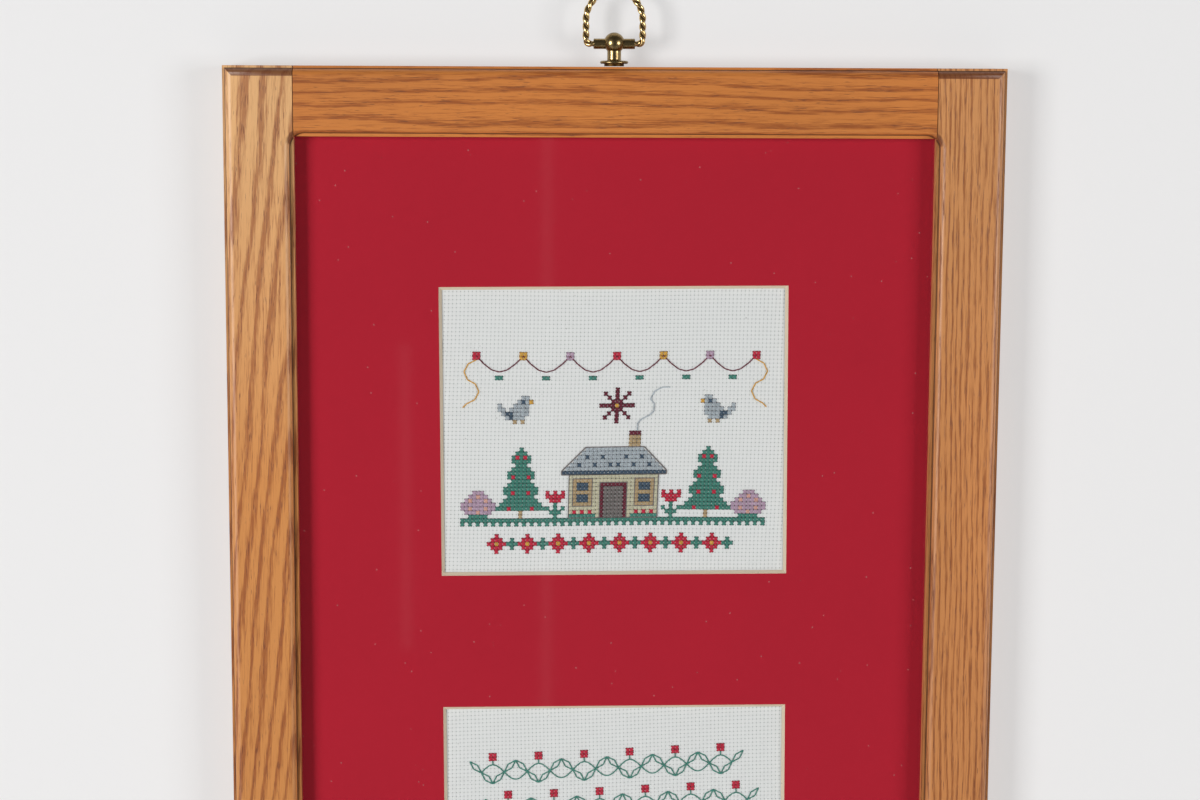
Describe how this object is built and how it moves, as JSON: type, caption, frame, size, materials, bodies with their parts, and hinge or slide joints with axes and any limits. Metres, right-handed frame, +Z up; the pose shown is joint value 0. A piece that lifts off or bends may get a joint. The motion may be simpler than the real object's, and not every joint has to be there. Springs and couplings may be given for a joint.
{
  "type": "framed cross stitch sampler with hanging ring",
  "caption": "Oak frame with glass and a crimson window mat over stitched cloths, hung by a twisted brass ring on its top rail.",
  "frame": {"origin": "the hang point: the inside of the ring's top, in the middle of the frame's thickness", "axes": "+Z up along the frame's long side, front facing -Y, back facing +Y, +X to the right seen from the front"},
  "size_m": [0.3556, 0.019, 0.5692],
  "materials": {
    "oak_left": "honey oak, satin lacquer",
    "oak_right": "brown oak, satin lacquer",
    "oak_rail": "orange oak, satin lacquer",
    "glass": "clear picture glass",
    "mat_card": "crimson card, matt",
    "stitched_cloth": "white block-weave cotton with stranded cotton stitches",
    "mount_card": "cream card, matt",
    "backing_board": "brown hardboard",
    "aged_brass": "darkened brass",
    "bright_brass": "polished brass"
  },
  "bodies": {
    "root": {"stile_left": "oak_left", "stile_right": "oak_right", "rail_top": "oak_rail", "rail_bottom": "oak_rail", "glass": "glass", "mat": "mat_card", "cloth_upper": "stitched_cloth", "cloth_lower": "stitched_cloth", "mount_card": "mount_card", "backing_board": "backing_board", "hanger_stud": "aged_brass", "hanger_ring": "bright_brass"}
  },
  "joints": []
}
